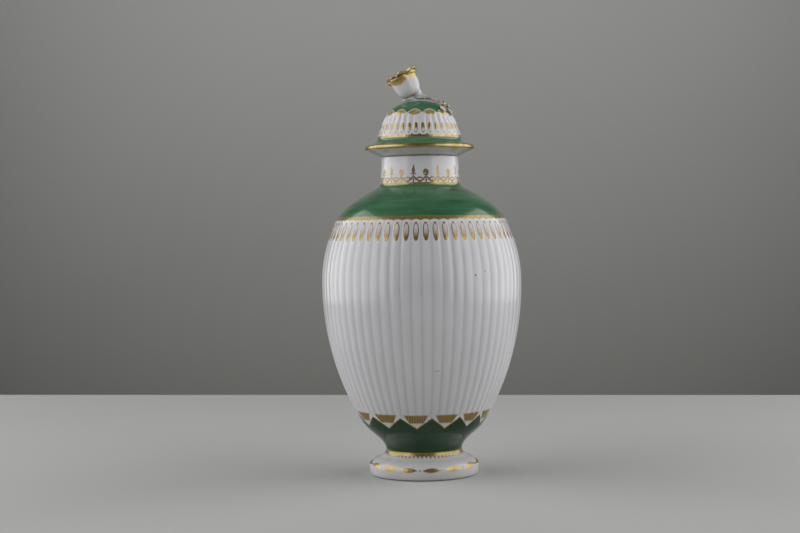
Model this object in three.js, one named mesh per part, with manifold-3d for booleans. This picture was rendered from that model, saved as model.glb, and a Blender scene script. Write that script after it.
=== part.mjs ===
// A covered tea canister in porcelain: a reeded ovoid vessel on a turned foot, with a lift-off domed cover
// whose knop is a hand-modelled flower lying on its stem. Millimetres, +Z up, standing on z = 0 with the
// axis of the vessel on the Z axis. The flower leans towards -X and its sprig lies towards +X.
import * as THREE from 'three';
import { mergeVertices } from 'three/addons/utils/BufferGeometryUtils.js';
import Module from 'manifold-3d';

const wasm = await Module();
wasm.setup();

// Foot
const footRadius = 22.4;
const footEdgeHeight = 3.8;
const footHeight = 10.6;
const footRingRadius = 20.8;
const footRingWidth = 3.4;
const footStepRadius = 19.5;
const footStepHeight = 7.1;
const luteWidth = 5;

// Vessel, from the waist on the foot to the mouth
const waistRadius = 15.5;
const bowlRadius = 25.1;
const bowlHeight = 22;
const bellyRadius = 40.6;
const bellyHeight = 78.5;
const bandRadius = 34.6;
const bandHeight = 103.8;
const neckRadius = 16.3;
const neckHeight = 118.6;
const neckFillet = 0.7;
const mouthRadius = 15.5;
const mouthHeight = 129.5;
const mouthEdge = 0.7;
const vesselWall = 3;
const neckWall = 2.4;
const floorThickness = 3.2;

// Reeds of the vessel, upright ribs side by side with a sharp groove between each two
const reedCount = 60;
const reedDepth = 0.6;
const reedFoot = 24;
const reedFade = 2;

// Cover
const seatGap = 0.3;
const seatRadius = 16.3;
const rimRadius = 22.3;
const rimRise = 3.35;
const rimThickness = 1.7;
const domeRadius = 17.1;
const domeFootRise = 7.5;
const domeRise = 22.4;
const coverWall = 2.6;
const coverReedCount = 35;
const coverReedDepth = 0.4;
const coverReedFoot = 8.6;
const coverReedTop = 17.2;
const coverReedTurn = 2.8;
const flangeClearance = 0.6;
const flangeWall = 2.3;
const flangeDepth = 9;

// Flower knop and its sprig
const sprigGap = 0.3;
const flowerLean = 27;
const flowerOffset = -2.7;
const flowerLift = 2.1;
const flowerRadius = 5.8;
const flowerHeight = 8.3;
const cupFootRadius = 1.9;
const petalsPerLayer = 4;
const petalThickness = 0.8;
const petalCurl = 1.1;
const petalTurn = -26;
const centreRadius = 1.1;
const centreHeight = 5.2;
const stemRadius = 1.2;
const stemEndRadius = 0.5;
const sprigAngle = -24;
const sprigRadius = 10.2;
const leafThickness = 0.7;
const budRadius = 0.8;

// Facets
const footSides = 44;
const chamberSides = 40;
const rimSides = 50;
const coverHollowSides = 36;
const capSides = 12;
const knopSides = 12;
const stemSides = 8;
const stemSteps = 10;
const leafSteps = 7;

const porcelain = 0xdcdbd6;
const leafTint = 0xd9d3b6;
const gilding = 0xb98f35;

const radians = THREE.MathUtils.degToRad;

// Points on the cubic curve from start to end with two handles.
function curve(start, handle1, handle2, end, steps) {
  const points = [start, handle1, handle2, end].map(([r, z]) => new THREE.Vector2(r, z));
  return new THREE.CubicBezierCurve(...points).getPoints(steps);
}

// Moves an outline towards its inner side, by the same wall everywhere.
function inset(outline, wall) {
  return outline.map((point, i) => {
    const before = outline[Math.max(i - 1, 0)];
    const after = outline[Math.min(i + 1, outline.length - 1)];
    const along = after.clone().sub(before).normalize();
    return new THREE.Vector2(point.x - wall * along.y, point.y + wall * along.x);
  });
}

// Radius of an outline at a height.
function radiusAt(outline, z) {
  const i = outline.findIndex((point, k) => k > 0 && point.y >= z);
  if (i < 1) return outline[outline.length - 1].x;
  const [low, high] = [outline[i - 1], outline[i]];
  const share = (z - low.y) / (high.y - low.y);
  return low.x + share * (high.x - low.x);
}

// Leaves only positions, with each point shared by its triangles.
function welded(geometry) {
  geometry.deleteAttribute('normal');
  geometry.deleteAttribute('uv');
  return mergeVertices(geometry, 1e-4);
}

// Turns an outline of radius and height round the Z axis. The outline runs up the outside.
function revolve(outline, sides) {
  return welded(new THREE.LatheGeometry(outline, sides).rotateX(Math.PI / 2));
}

// Joins rings of points into a closed skin with a flat cap at each end. Neighbouring rings may differ in
// their number of points. Each ring runs counter-clockwise seen from the end of the skin.
function skin(rings) {
  const positions = rings.flat().flatMap((point) => point.toArray());
  const starts = [];
  let total = 0;
  for (const ring of rings) {
    starts.push(total);
    total += ring.length;
  }
  const faces = [];
  for (let k = 0; k + 1 < rings.length; k++) {
    const [lower, upper] = [rings[k].length, rings[k + 1].length];
    let [i, j] = [0, 0];
    while (i < lower || j < upper) {
      const a = starts[k] + (i % lower);
      const b = starts[k + 1] + (j % upper);
      if ((i + 1) * upper <= (j + 1) * lower) {
        i += 1;
        faces.push(a, starts[k] + (i % lower), b);
      } else {
        j += 1;
        faces.push(a, starts[k + 1] + (j % upper), b);
      }
    }
  }
  const last = rings.length - 1;
  for (const [ring, start, turned] of [[rings[0], 0, true], [rings[last], starts[last], false]]) {
    const centre = new THREE.Vector3();
    ring.forEach((point) => centre.addScaledVector(point, 1 / ring.length));
    positions.push(...centre.toArray());
    const middle = positions.length / 3 - 1;
    ring.forEach((_, i) => {
      const next = start + ((i + 1) % ring.length);
      faces.push(middle, turned ? next : start + i, turned ? start + i : next);
    });
  }
  const geometry = new THREE.BufferGeometry();
  geometry.setAttribute('position', new THREE.Float32BufferAttribute(positions, 3));
  return geometry.setIndex(faces);
}

// One level ring of points, a plain circle.
function level(radius, z, sides) {
  return Array.from({ length: sides }, (_, i) => {
    const angle = (2 * Math.PI * i) / sides;
    return new THREE.Vector3(radius * Math.cos(angle), radius * Math.sin(angle), z);
  });
}

// One level ring of points that dips by depth between its ribs, turned by some degrees.
const RIB_STATIONS = [0, 0.28, 0.72];
function reededLevel(radius, z, count, depth, turn = 0) {
  return Array.from({ length: count }, (_, rib) => RIB_STATIONS.map((station) => {
    const fromCrest = Math.abs(2 * station - 1);
    const dipped = radius - depth * fromCrest ** 2.5;
    const angle = (2 * Math.PI * (rib + station)) / count + radians(turn);
    return new THREE.Vector3(dipped * Math.cos(angle), dipped * Math.sin(angle), z);
  })).flat();
}

function solid(geometry) {
  const mesh = new wasm.Mesh({
    numProp: 3,
    vertProperties: new Float32Array(geometry.getAttribute('position').array),
    triVerts: new Uint32Array(geometry.index.array),
  });
  return new wasm.Manifold(mesh);
}

function cut(whole, tool) {
  const mesh = solid(whole).subtract(solid(tool)).getMesh();
  const geometry = new THREE.BufferGeometry();
  geometry.setAttribute('position', new THREE.BufferAttribute(mesh.vertProperties, 3));
  return geometry.setIndex(new THREE.BufferAttribute(mesh.triVerts, 1));
}

function piece(name, geometry, colour, roughness = 0.12, metalness = 0) {
  const material = new THREE.MeshStandardMaterial({ color: colour, roughness, metalness });
  const mesh = new THREE.Mesh(geometry, material);
  mesh.name = name;
  return mesh;
}

// Outer outline of the vessel: a flared bowl, a long wall, a quick turn inwards and a rounded shoulder.
const bowl = curve(
  [waistRadius, footHeight],
  [waistRadius + 0.05 * (bowlRadius - waistRadius), footHeight + 0.39 * (bowlHeight - footHeight)],
  [bowlRadius - 0.28 * (bowlRadius - waistRadius), bowlHeight - 0.4 * (bowlHeight - footHeight)],
  [bowlRadius, bowlHeight],
  6,
);
const wall = curve(
  [bowlRadius, bowlHeight],
  [bowlRadius + 0.18 * (bellyRadius - bowlRadius), bowlHeight + 0.08 * (bellyHeight - bowlHeight)],
  [bellyRadius, bellyHeight - 0.56 * (bellyHeight - bowlHeight)],
  [bellyRadius, bellyHeight],
  6,
);
const turnIn = curve(
  [bellyRadius, bellyHeight],
  [bellyRadius, bellyHeight + 0.42 * (bandHeight - bellyHeight)],
  [bandRadius + 0.52 * (bellyRadius - bandRadius), bandHeight - 0.27 * (bandHeight - bellyHeight)],
  [bandRadius, bandHeight],
  5,
);
const shoulderTop = neckHeight - 2 * neckFillet;
const shoulder = curve(
  [bandRadius, bandHeight],
  [bandRadius - 0.23 * (bandRadius - neckRadius), bandHeight + 0.46 * (shoulderTop - bandHeight)],
  [neckRadius + 0.57 * (bandRadius - neckRadius), shoulderTop - 0.37 * (shoulderTop - bandHeight)],
  [neckRadius + neckFillet, shoulderTop],
  6,
);
const boreRadius = mouthRadius - neckWall;

function bodyVessel() {
  const reedTop = bandHeight - 0.5 * reedFade;
  const outline = [...wall, ...turnIn.slice(1)];
  const rib = (z, depth) => reededLevel(radiusAt(outline, z), z, reedCount, depth);
  const middle = outline.filter((point) => point.y > reedFoot + reedFade && point.y < reedTop - reedFade);
  const upper = [
    ...shoulder,
    new THREE.Vector2(neckRadius, neckHeight),
    new THREE.Vector2(mouthRadius, mouthHeight - mouthEdge),
    new THREE.Vector2(mouthRadius - mouthEdge, mouthHeight),
  ];
  const whole = skin([
    ...bowl.map((point) => level(point.x, point.y, reedCount)),
    rib(reedFoot, 0),
    rib(reedFoot + reedFade, reedDepth),
    ...middle.map((point) => reededLevel(point.x, point.y, reedCount, reedDepth)),
    rib(reedTop - reedFade, reedDepth),
    rib(reedTop, 0),
    ...upper.map((point) => level(point.x, point.y, reedCount)),
  ]);
  const floor = footHeight + floorThickness;
  const inner = inset([...bowl, ...wall.slice(1), ...turnIn.slice(1), ...shoulder.slice(1)], vesselWall);
  const chamber = inner.filter((point, i) => (
    i % 2 === 0 && point.y > floor + 1 && point.y < shoulderTop && point.x > boreRadius
  ));
  const hollow = revolve([
    new THREE.Vector2(0, floor),
    new THREE.Vector2(chamber[0].x - 0.5 * vesselWall, floor),
    ...chamber,
    new THREE.Vector2(boreRadius, shoulderTop),
    new THREE.Vector2(boreRadius, mouthHeight + 1),
    new THREE.Vector2(0, mouthHeight + 1),
  ], chamberSides);
  return piece('body_vessel', cut(whole, hollow), porcelain);
}

function pedestalFoot() {
  const innerBase = footRingRadius - footRingWidth;
  const innerTop = waistRadius - luteWidth;
  const stepWidth = footStepRadius - waistRadius;
  const topWidth = footRadius - footStepRadius;
  const topRise = footStepHeight - footEdgeHeight;
  const edge = curve(
    [footRingRadius, 0],
    [footRadius - 0.2 * (footRadius - footRingRadius), 0.03 * footEdgeHeight],
    [footRadius, 0.5 * footEdgeHeight],
    [footRadius, footEdgeHeight],
    3,
  );
  const top = curve(
    [footRadius, footEdgeHeight],
    [footRadius, footEdgeHeight + 0.5 * topRise],
    [footStepRadius + 0.4 * topWidth, footStepHeight - 0.2 * topRise],
    [footStepRadius, footStepHeight],
    3,
  );
  const sweep = curve(
    [footStepRadius, footStepHeight],
    [waistRadius + 0.3 * stepWidth, footStepHeight + 0.25 * (footHeight - footStepHeight)],
    [waistRadius, footStepHeight + 0.55 * (footHeight - footStepHeight)],
    [waistRadius, footHeight],
    4,
  );
  const outline = [
    ...edge,
    ...top.slice(1),
    ...sweep.slice(1),
    new THREE.Vector2(innerTop, footHeight),
    new THREE.Vector2(innerTop + 0.3 * (innerBase - innerTop), 0.55 * footHeight),
    new THREE.Vector2(innerBase, 0),
    edge[0],
  ];
  return piece('pedestal_foot', revolve(outline, footSides), porcelain);
}

// Outer outline of the cover, from its flat seat, out to the rim and up over the dome.
const seatHeight = mouthHeight + seatGap;
const rimHeight = seatHeight + rimRise;
const rimTop = rimHeight + rimThickness / 2;
const rimEdge = 0.3 * rimThickness;
const domeFoot = seatHeight + domeFootRise;
const domeTop = seatHeight + domeRise;
const rim = curve(
  [rimRadius - rimEdge, rimHeight - rimThickness / 2],
  [rimRadius + 0.2 * rimEdge, rimHeight - 0.4 * rimThickness],
  [rimRadius + 0.2 * rimEdge, rimHeight + 0.4 * rimThickness],
  [rimRadius - rimEdge, rimTop],
  3,
);
const flare = curve(
  [rimRadius - rimEdge, rimTop],
  [domeRadius + 0.3 * (rimRadius - domeRadius), rimTop + 0.28 * (domeFoot - rimTop)],
  [domeRadius + 0.04 * (rimRadius - domeRadius), rimTop + 0.38 * (domeFoot - rimTop)],
  [domeRadius, domeFoot],
  4,
);
const dome = curve(
  [domeRadius, domeFoot],
  [0.84 * domeRadius, domeFoot + 0.67 * (domeTop - domeFoot)],
  [0.65 * domeRadius, domeTop],
  [0, domeTop],
  8,
);
const coverBore = boreRadius - flangeClearance - flangeWall;

function domeHeight(radius) {
  const i = dome.findIndex((point) => point.x <= radius);
  const [low, high] = [dome[i - 1], dome[i]];
  return low.y + ((high.y - low.y) * (low.x - radius)) / (low.x - high.x);
}

function coverShell() {
  const ribFoot = seatHeight + coverReedFoot;
  const ribTop = seatHeight + coverReedTop;
  const fade = 0.5 * reedFade;
  const rib = (z, depth) => reededLevel(radiusAt(dome, z), z, coverReedCount, depth, coverReedTurn);
  const middle = dome.filter((point) => point.y > ribFoot + 1.5 * fade && point.y < ribTop - 1.5 * fade);
  const cap = dome.filter((point) => point.y > ribTop + 0.5 * fade && point.x > 1);
  const whole = skin([
    level(seatRadius, seatHeight, rimSides),
    ...[...rim, ...flare.slice(1)].map((point) => level(point.x, point.y, rimSides)),
    rib(ribFoot, 0),
    rib(ribFoot + fade, coverReedDepth),
    ...middle.map((point) => reededLevel(point.x, point.y, coverReedCount, coverReedDepth, coverReedTurn)),
    rib(ribTop - fade, coverReedDepth),
    rib(ribTop, 0),
    ...cap.map((point) => level(point.x, point.y, coverReedCount)),
    level(1, domeTop, capSides),
  ]);
  const ceiling = inset(dome, coverWall).filter((point) => point.x > 1 && point.x < coverBore);
  const hollow = revolve([
    new THREE.Vector2(0, seatHeight - 1),
    new THREE.Vector2(coverBore, seatHeight - 1),
    new THREE.Vector2(coverBore, domeFoot + 0.45 * (domeTop - domeFoot)),
    ...ceiling,
    new THREE.Vector2(0, domeTop - coverWall),
  ], coverHollowSides);
  return piece('cover_shell', cut(whole, hollow), porcelain);
}

// The ring under the cover that keeps it in the mouth.
function locatingFlange() {
  const outer = coverBore + flangeWall;
  const foot = seatHeight - flangeDepth;
  const edge = 0.35 * flangeWall;
  const outline = [
    new THREE.Vector2(coverBore, seatHeight),
    new THREE.Vector2(coverBore, foot + edge),
    new THREE.Vector2(coverBore + edge, foot),
    new THREE.Vector2(outer - edge, foot),
    new THREE.Vector2(outer, foot + edge),
    new THREE.Vector2(outer, seatHeight),
    new THREE.Vector2(coverBore, seatHeight),
  ];
  return piece('cover_locating_flange', revolve(outline, chamberSides), porcelain);
}

// The flower is built about its own axis, then leaned over. Its cup swells from the stem to the petal tips.
const cup = curve(
  [cupFootRadius, 0],
  [0.9 * flowerRadius, 0.08 * flowerHeight],
  [0.95 * flowerRadius, 0.5 * flowerHeight],
  [flowerRadius, flowerHeight],
  12,
);

// One petal: a curved blade on the cup, widest near its middle, with a narrower tip that curls outwards.
function petal(turn, layer) {
  const inward = layer * (petalThickness + 1.5 * sprigGap);
  const spine = cup.filter((point, i) => i > 2 * layer && i % 2 === 1);
  const tip = spine[spine.length - 1];
  spine.push(new THREE.Vector2(tip.x + 0.5 * petalCurl, tip.y + 0.75 * petalCurl));
  spine.push(new THREE.Vector2(tip.x + petalCurl, tip.y + 0.8 * petalCurl));
  const fronts = inset(spine, inward);
  const backs = inset(spine, inward + petalThickness);
  const widest = Math.PI / petalsPerLayer - 0.6 * (sprigGap / flowerRadius);
  const across = [-1, -0.5, 0, 0.5, 1];
  const rings = fronts.map((front, k) => {
    const share = k / (fronts.length - 1);
    const taper = 0.42 + 0.58 * Math.sin(Math.PI * (0.2 + 0.62 * share));
    const half = widest * taper * (share === 1 ? 0.5 : 1);
    const at = (point, side) => {
      const angle = turn + side * half;
      return new THREE.Vector3(point.x * Math.sin(angle), -point.x * Math.cos(angle), point.y);
    };
    return [
      ...across.map((side) => at(front, side)),
      ...across.map((side) => at(backs[k], -side)),
    ];
  });
  return skin(rings);
}

function flower() {
  const group = new THREE.Group();
  for (let i = 0; i < petalsPerLayer; i++) {
    const turn = radians(petalTurn + (360 * i) / petalsPerLayer);
    group.add(piece(`petal_outer_${i + 1}`, petal(turn, 0), porcelain));
    group.add(piece(`petal_inner_${i + 1}`, petal(turn + Math.PI / petalsPerLayer, 1), porcelain));
  }
  const core = [
    new THREE.Vector2(0, 0.1 * centreHeight),
    new THREE.Vector2(centreRadius, 0.1 * centreHeight),
    new THREE.Vector2(centreRadius, 0.4 * centreHeight),
    new THREE.Vector2(0.8 * centreRadius, 0.9 * centreHeight),
    new THREE.Vector2(0, centreHeight),
  ];
  group.add(piece('flower_centre', revolve(core, knopSides), leafTint));
  group.position.set(flowerOffset, 0, domeTop + flowerLift);
  group.rotation.y = -radians(flowerLean);
  return group;
}

// The way straight out of the dome at a radius, and a point above the dome there.
function outOfDome(radius, degrees) {
  const angle = radians(degrees);
  const step = 0.05;
  const slope = (domeHeight(radius + step) - domeHeight(radius)) / step;
  return new THREE.Vector3(-slope * Math.cos(angle), -slope * Math.sin(angle), 1).normalize();
}

function onDome(radius, degrees, above) {
  const angle = radians(degrees);
  const foot = new THREE.Vector3(radius * Math.cos(angle), radius * Math.sin(angle), domeHeight(radius));
  return foot.addScaledVector(outOfDome(radius, degrees), above);
}

// A round stem that comes out under the cup, arches over the top of the dome and tapers to its sprig.
function finialStem() {
  const clear = 1.2 * sprigGap;
  const bend = (share, above) => onDome(share * sprigRadius, sprigAngle, above);
  const path = new THREE.CatmullRomCurve3([
    new THREE.Vector3(flowerOffset + 0.4, 0, domeTop + flowerLift - 0.55 * stemRadius),
    bend(0.05, flowerLift + 0.15 * stemRadius),
    bend(0.27, 0.62 * flowerLift),
    bend(0.5, clear + 1.3 * stemEndRadius),
    bend(0.7, clear + stemEndRadius),
    bend(0.86, clear + stemEndRadius),
  ]);
  const frames = path.computeFrenetFrames(stemSteps, false);
  const rings = Array.from({ length: stemSteps + 1 }, (_, k) => {
    const share = k / stemSteps;
    const radius = stemEndRadius + (1 - share) ** 1.6 * (stemRadius - stemEndRadius);
    const centre = path.getPointAt(share);
    return Array.from({ length: stemSides }, (_, i) => {
      const angle = (2 * Math.PI * i) / stemSides;
      return centre.clone()
        .addScaledVector(frames.normals[k], radius * Math.cos(angle))
        .addScaledVector(frames.binormals[k], radius * Math.sin(angle));
    });
  });
  return piece('finial_stem', skin(rings), porcelain);
}

// A leaf laid on the dome from one place to another, each a radius and an angle.
function leaf(name, from, to, width, lift = sprigGap) {
  const places = Array.from({ length: leafSteps + 1 }, (_, k) => {
    const share = k / leafSteps;
    return [from[0] + share * (to[0] - from[0]), from[1] + share * (to[1] - from[1])];
  });
  const middles = places.map(([radius, degrees]) => onDome(radius, degrees, lift + leafThickness / 2));
  const rings = middles.map((middle, k) => {
    const out = outOfDome(...places[k]);
    const before = middles[Math.max(k - 1, 0)];
    const after = middles[Math.min(k + 1, leafSteps)];
    const side = out.clone().cross(after.clone().sub(before)).normalize();
    const half = (width / 2) * Math.sin(Math.PI * (0.04 + (0.92 * k) / leafSteps)) ** 0.8;
    return [[-1, 0], [-0.5, -1], [0.5, -1], [1, 0], [0.5, 1], [-0.5, 1]].map(([across, up]) => (
      middle.clone().addScaledVector(side, across * half).addScaledVector(out, (up * leafThickness) / 2)
    ));
  });
  return piece(name, skin(rings), leafTint);
}

function bud(name, place) {
  const mesh = piece(name, welded(new THREE.SphereGeometry(budRadius, 8, 6)), gilding, 0.3, 0.8);
  mesh.position.copy(onDome(...place, sprigGap + budRadius));
  return mesh;
}

const vessel = new THREE.Group();
vessel.add(bodyVessel(), pedestalFoot());

const underFlower = (share, degrees) => [share * flowerRadius, degrees];
const onSprig = (share, degrees) => [share * sprigRadius, sprigAngle + degrees];
const cover = new THREE.Group();
cover.add(coverShell(), locatingFlange(), finialStem(), flower());
cover.add(leaf('leaf_under_flower_left', underFlower(0.56, 222), underFlower(1.2, 207), 3.4));
cover.add(leaf('leaf_under_flower_front', underFlower(0.42, 262), underFlower(0.97, 294), 2.6, 3 * sprigGap));
cover.add(leaf('leaf_sprig_front', onSprig(1.1, -19), onSprig(1.3, -16), 2.4));
cover.add(leaf('leaf_sprig_outer', onSprig(1.19, 0), onSprig(1.37, 2), 2.2));
cover.add(leaf('leaf_slender', onSprig(1.11, 21), onSprig(1.33, 23), 1.8));
cover.add(bud('bud_upper', onSprig(0.94, 19)));
cover.add(bud('bud_front', onSprig(1.03, -5)));
cover.add(bud('bud_outer', onSprig(1.11, 9)));

const canister = new THREE.Group();
canister.add(vessel, cover);

export default canister;
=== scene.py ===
"""Covered porcelain tea canister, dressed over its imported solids.

The sections follow the canister as it is put together: foot, vessel, cover, knop, and then the table it
stands on. Turned outlines and paint are in millimetres from the foot ring, meshes are in metres.
"""

import math

import bpy
import numpy as np
from mathutils import Matrix, Vector


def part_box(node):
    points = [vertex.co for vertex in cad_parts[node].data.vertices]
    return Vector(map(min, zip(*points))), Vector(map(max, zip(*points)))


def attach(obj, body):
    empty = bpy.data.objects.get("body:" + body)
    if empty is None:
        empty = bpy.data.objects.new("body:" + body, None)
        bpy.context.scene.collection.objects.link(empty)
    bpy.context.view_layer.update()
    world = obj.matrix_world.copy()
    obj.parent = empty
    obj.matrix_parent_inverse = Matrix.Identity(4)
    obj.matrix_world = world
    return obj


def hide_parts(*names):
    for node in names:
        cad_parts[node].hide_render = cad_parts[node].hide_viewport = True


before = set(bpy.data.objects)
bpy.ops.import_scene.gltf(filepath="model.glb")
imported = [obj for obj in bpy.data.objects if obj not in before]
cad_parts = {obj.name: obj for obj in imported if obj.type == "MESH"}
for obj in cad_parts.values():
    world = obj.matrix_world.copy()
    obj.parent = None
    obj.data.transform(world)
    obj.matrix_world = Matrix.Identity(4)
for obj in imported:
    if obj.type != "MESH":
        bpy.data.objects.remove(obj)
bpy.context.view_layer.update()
scene = bpy.context.scene
MM = 0.001


# Camera. It stands in front of the canister, a little above the middle of the belly, and looks almost
# level, as a photographer of small porcelain does with a long lens.
picture_width = 800
focal_pixels = 1614
camera_distance = 0.659
camera_height = 0.1026
pitch, yaw, roll = math.radians(1.54), math.radians(0.76), math.radians(0.87)

looking = Vector((-math.sin(yaw) * math.cos(pitch), math.cos(yaw) * math.cos(pitch), -math.sin(pitch)))
level_right = Vector((math.cos(yaw), math.sin(yaw), 0))
level_up = level_right.cross(looking)
right = level_right * math.cos(roll) - level_up * math.sin(roll)
up = level_right * math.sin(roll) + level_up * math.cos(roll)
camera = bpy.data.objects.new("camera", bpy.data.cameras.new("camera"))
camera.data.sensor_width = 36
camera.data.lens = focal_pixels * camera.data.sensor_width / picture_width
camera.data.clip_start = 0.01
turned_to = Matrix((right, up, -looking)).transposed()
camera.matrix_world = Matrix.Translation((0, -camera_distance, camera_height)) @ turned_to.to_4x4()
scene.collection.objects.link(camera)
scene.camera = camera


# Pedestal foot. It is thrown and turned apart in porcelain, hollow underneath with a flat foot ring, and
# luted to the waist of the bowl. A gilt ring covers the joint, with a painted husk garland on the edge.
foot_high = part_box("pedestal_foot")[1]
foot_radius = foot_high.x / MM
waist_height = foot_high.z / MM
foot_edge_height = 3.8
step_height = 7.1
step_radius = 19.5
waist_radius = 15.5
ring_radius = 20.8
foot_bore_base = 17.4
foot_bore_top = 10.5
RIBS = 60
foot_columns = 5 * RIBS


def drawn(start, handle1, handle2, end, steps):
    """Points on one cubic stretch of a turned outline, each a radius and a height."""
    share = np.linspace(0, 1, steps + 1)[:, None]
    a, b, c, d = (np.array(point, float) for point in (start, handle1, handle2, end))
    rest = 1 - share
    return rest**3 * a + 3 * rest**2 * share * b + 3 * rest * share**2 * c + share**3 * d


def swept(start, end, leaving, arriving, steps):
    """A drawn stretch whose handles are shares of the way across and up from its start to its end."""
    handles = [[a + share * (b - a) for a, b, share in zip(start, end, pair)] for pair in (leaving, arriving)]
    return drawn(start, *handles, end, steps)


def straight(start, end, steps):
    """Evenly spaced points from one point of an outline to the next."""
    share = np.linspace(0, 1, steps + 1)[:, None]
    return (1 - share) * np.array(start, float) + share * np.array(end, float)


def outline_of(*stretches):
    """Joins stretches of an outline and drops the points where they meet twice."""
    points = [tuple(point) for stretch in stretches for point in stretch]
    kept = [points[0]]
    for point in points[1:]:
        if math.dist(point, kept[-1]) > 1e-6:
            kept.append(point)
    return kept


def new_piece(name, points, faces):
    """A smooth mesh object from points in millimetres."""
    mesh = bpy.data.meshes.new(name)
    mesh.from_pydata([tuple(x * MM for x in point) for point in points], [], faces)
    mesh.validate()
    mesh.polygons.foreach_set("use_smooth", [True] * len(mesh.polygons))
    mesh.update()
    obj = bpy.data.objects.new(name, mesh)
    scene.collection.objects.link(obj)
    return obj


def mark_points(obj, name, values):
    """Keeps a number for each point of a mesh under a name, for its tree or its finish."""
    mark = obj.data.attributes.new(name, "FLOAT", "POINT")
    mark.data.foreach_set("value", values)


def turned_piece(name, outline, columns, outer_rows=(), start=0.0):
    """Turns an outline round the Z axis. It runs up the outside and closes on the axis or on itself.

    The outer_rows of the outline are marked as its outer side, for the reeding and the paint. The first
    column stands at the start angle, in degrees from +X.
    """
    angles = [math.radians(start) + 2 * math.pi * k / columns for k in range(columns)]
    points, rings, outer = [], [], []
    for row, (radius, height) in enumerate(outline):
        turns = angles if radius > 1e-6 else [0]
        rings.append([len(points) + k for k in range(len(turns))])
        points.extend((radius * math.cos(a), radius * math.sin(a), height) for a in turns)
        outer.extend([float(row in outer_rows)] * len(turns))
    pairs = list(zip(rings, rings[1:]))
    if len(rings[0]) > 1:
        pairs.append((rings[-1], rings[0]))
    faces = []
    for low, high in pairs:
        for k in range(columns):
            corners = ((low, k), (low, k + 1), (high, k + 1), (high, k))
            faces.append(tuple(dict.fromkeys(ring[i % len(ring)] for ring, i in corners)))
    obj = new_piece(name, points, faces)
    mark_points(obj, "outer_side", outer)
    return obj


class Amount:
    """A number in a node tree, so that painted and ribbed patterns are written as arithmetic."""

    def __init__(self, tree, socket):
        self.tree = tree
        self.socket = socket

    def of(self, operation, *values, clamp=False):
        node = self.tree.nodes.new("ShaderNodeMath")
        node.operation = operation
        node.use_clamp = clamp
        for value, socket in zip(values, node.inputs):
            put(socket, value)
        return Amount(self.tree, node.outputs[0])

    def __add__(self, other):
        return self.of("ADD", self, other)

    def __radd__(self, other):
        return self.of("ADD", other, self)

    def __sub__(self, other):
        return self.of("SUBTRACT", self, other)

    def __rsub__(self, other):
        return self.of("SUBTRACT", other, self)

    def __mul__(self, other):
        return self.of("MULTIPLY", self, other)

    def __truediv__(self, other):
        return self.of("DIVIDE", self, other)

    def __pow__(self, other):
        return self.of("POWER", self, other)

    def size(self):
        return self.of("ABSOLUTE", self)

    def fraction(self):
        return self.of("FRACT", self)

    def most(self, other):
        return self.of("MAXIMUM", self, other)

    def least(self, other):
        return self.of("MINIMUM", self, other)

    def clamped(self):
        return self.of("ADD", self, 0.0, clamp=True)

    def below(self, edge, soft=0.12):
        """1 where it is less than the edge, 0 where it is more, with a soft change between."""
        if isinstance(edge, Amount):
            return self.of("MULTIPLY_ADD", edge - self, 1 / soft, 0.5, clamp=True)
        return self.of("MULTIPLY_ADD", self, -1 / soft, edge / soft + 0.5, clamp=True)

    def above(self, edge, soft=0.12):
        if isinstance(edge, Amount):
            return self.of("MULTIPLY_ADD", self - edge, 1 / soft, 0.5, clamp=True)
        return self.of("MULTIPLY_ADD", self, 1 / soft, 0.5 - edge / soft, clamp=True)

    def between(self, low, high, soft=0.12):
        return self.above(low, soft) * self.below(high, soft)

    def across(self, pitch, start=0.0):
        """Where it lies in a repeat of this pitch, from -0.5 to 0.5, with 0 at start."""
        return ((self - start) / pitch + 0.5).fraction() - 0.5


def put(socket, value):
    """Links an input to what gives its value, or sets it. A colour is written without its alpha."""
    if isinstance(value, Amount):
        value = value.socket
    if isinstance(value, bpy.types.NodeSocket):
        socket.id_data.links.new(value, socket)
    elif socket.type == "RGBA":
        socket.default_value = (*value, 1)
    else:
        socket.default_value = value


def filled(node, **inputs):
    """Puts values in a node's named inputs, and returns the node."""
    for label, value in inputs.items():
        put(node.inputs[label.replace("_", " ")], value)
    return node


def new_node(tree, kind, **inputs):
    return filled(tree.nodes.new(kind), **inputs)


def new_group(name, inputs, outputs):
    """An empty shader group with named sockets, and its input and output nodes."""
    group = bpy.data.node_groups.new(name, "ShaderNodeTree")
    for label, kind, value in inputs:
        socket = group.interface.new_socket(label, in_out="INPUT", socket_type=kind)
        socket.default_value = value
    for label, kind in outputs:
        group.interface.new_socket(label, in_out="OUTPUT", socket_type=kind)
    return group, group.nodes.new("NodeGroupInput"), group.nodes.new("NodeGroupOutput")


def noise(tree, scale, detail=2.0, roughness=0.5, stretch=(1, 1, 1)):
    """Soft noise on the piece's own coordinates, from 0 to 1, with scale in waves per metre."""
    place = tree.nodes.new("ShaderNodeTexCoord").outputs["Object"]
    place = new_node(tree, "ShaderNodeMapping", Vector=place, Scale=stretch).outputs["Vector"]
    waves = new_node(tree, "ShaderNodeTexNoise", Vector=place, Scale=scale, Detail=detail)
    waves.inputs["Roughness"].default_value = roughness
    return Amount(tree, waves.outputs["Fac"])


def mixed(tree, share, first, second):
    """A colour between two colours."""
    node = tree.nodes.new("ShaderNodeMix")
    node.data_type = "RGBA"
    for value, socket in ((share, node.inputs[0]), (first, node.inputs[6]), (second, node.inputs[7])):
        put(socket, value)
    return node.outputs[2]


def axes_of(tree, place):
    """The three coordinates of a place."""
    axes = new_node(tree, "ShaderNodeSeparateXYZ", Vector=place)
    return tuple(Amount(tree, axes.outputs[i]) for i in range(3))


def own_axes(tree):
    """The three coordinates of a point on the piece, in metres."""
    return axes_of(tree, tree.nodes.new("ShaderNodeTexCoord").outputs["Object"])


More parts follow.
